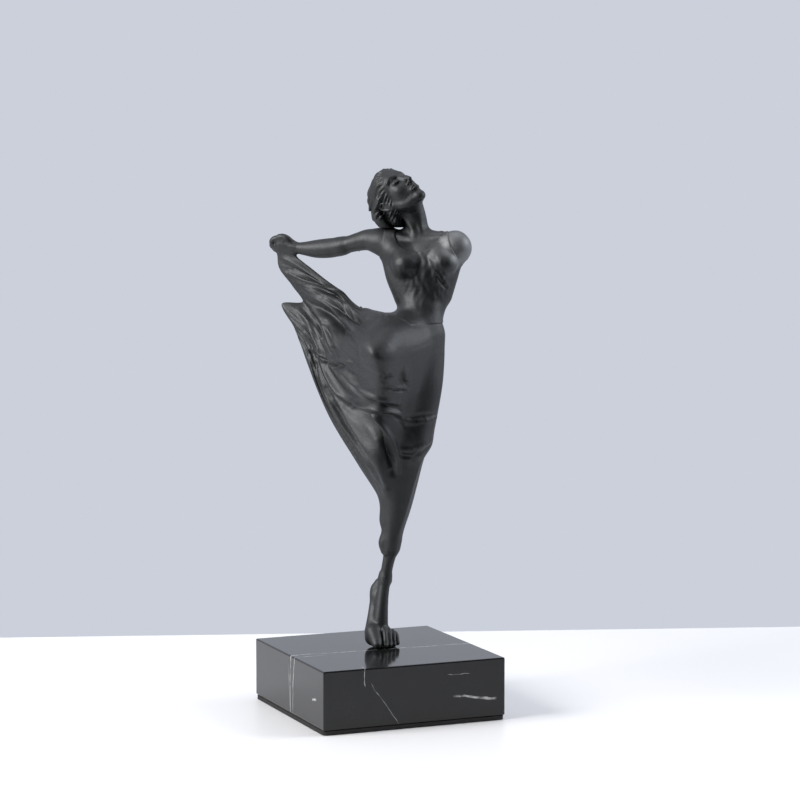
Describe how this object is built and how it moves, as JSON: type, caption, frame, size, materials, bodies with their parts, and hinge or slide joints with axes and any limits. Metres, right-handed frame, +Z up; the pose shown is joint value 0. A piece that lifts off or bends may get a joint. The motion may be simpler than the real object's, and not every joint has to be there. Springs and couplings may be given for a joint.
{
  "type": "dancer statuette on a plinth",
  "caption": "Dark patinated bronze dancer on one foot, one arm thrown back with her skirt in hand, bolted to a square black marble plinth.",
  "frame": {"origin": "centre of the underside of the pad, on the surface that the statuette stands on", "axes": "+Z up; the plinth's sides run along X and Y, and -Y is its front face; the dancer faces about 23 degrees to the left of -Y"},
  "size_m": [0.1068, 0.1221, 0.2815],
  "materials": {
    "bronze": "satin black-brown patina over cast bronze, rubbed on the ridges",
    "dowel": "plain bronze rod",
    "marble": "polished black marble with thin white veins",
    "pad": "matt foam rubber",
    "steel": "zinc plated"
  },
  "bodies": {
    "root": {"base_pad": "pad", "marble_plinth": "marble", "mounting_stud": "steel", "plate_washer": "steel", "lock_washer": "steel", "hex_nut": "steel", "lower_body": "bronze", "skirt": "bronze", "torso": "bronze", "head": "bronze", "right_arm": "bronze", "left_arm": "bronze", "waist_dowel": "dowel", "neck_dowel": "dowel", "right_shoulder_dowel": "dowel", "left_shoulder_dowel": "dowel"}
  },
  "joints": []
}
